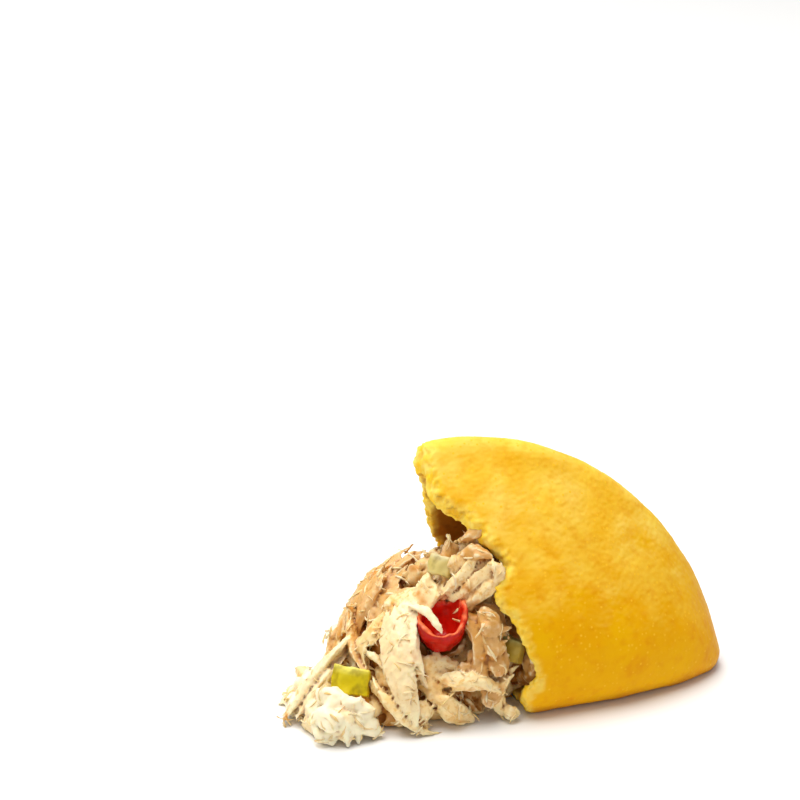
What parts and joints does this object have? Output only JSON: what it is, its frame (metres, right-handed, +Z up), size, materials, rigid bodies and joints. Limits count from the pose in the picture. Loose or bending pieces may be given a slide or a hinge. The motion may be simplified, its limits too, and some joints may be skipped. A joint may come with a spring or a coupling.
{
  "type": "torn empanada half",
  "caption": "Half of a corn-dough empanada torn open, standing on its fold, with a heap of shredded chicken and diced sweet pepper spilling out of the mouth",
  "frame": {"origin": "middle of the base of the whole part's box, on the table", "axes": "+Z up; +X along the straight fold, from the spilled filling towards the whole corner; -Y is the front"},
  "size_m": [0.0916, 0.0398, 0.051],
  "materials": {
    "cornmeal_crust": "fried cornmeal dough, golden yellow, fine grain",
    "chicken": "moist shredded chicken",
    "red_pepper": "cooked red pepper, shiny skin",
    "green_pepper": "cooked green pepper, yellow-green",
    "olive_pepper": "cooked pepper, olive green",
    "yellow_pepper": "cooked pepper, pale yellow-green"
  },
  "bodies": {
    "root": {"crust": "cornmeal_crust", "chicken_filling": "chicken", "red_pepper": "red_pepper", "green_pepper": "green_pepper", "olive_pepper": "olive_pepper", "yellow_pepper": "yellow_pepper"}
  },
  "joints": []
}
